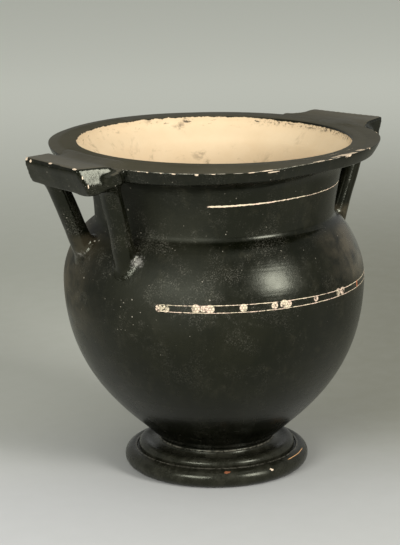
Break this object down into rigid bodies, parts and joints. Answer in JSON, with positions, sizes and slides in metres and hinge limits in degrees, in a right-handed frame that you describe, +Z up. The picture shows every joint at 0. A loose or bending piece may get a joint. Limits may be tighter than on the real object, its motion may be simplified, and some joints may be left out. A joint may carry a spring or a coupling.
{
  "type": "column krater",
  "caption": "Wide-mouthed wheel-thrown clay bowl on a moulded foot, with a broad overhanging lip and two handles, each a plate on two slanting posts.",
  "frame": {"origin": "centre of the footprint, on the surface the foot stands on", "axes": "+Z up along the vase's axis, +X from handle to handle, -Y towards the side with the rosette band"},
  "size_m": [0.4172, 0.3408, 0.35],
  "materials": {
    "black_gloss": "black clay gloss with an olive-brown cast, semi-gloss, worn to the clay at the edges",
    "bare_clay": "matt cream to peach clay, smooth from the wheel"
  },
  "bodies": {
    "root": {"krater": "black_gloss"}
  },
  "joints": []
}
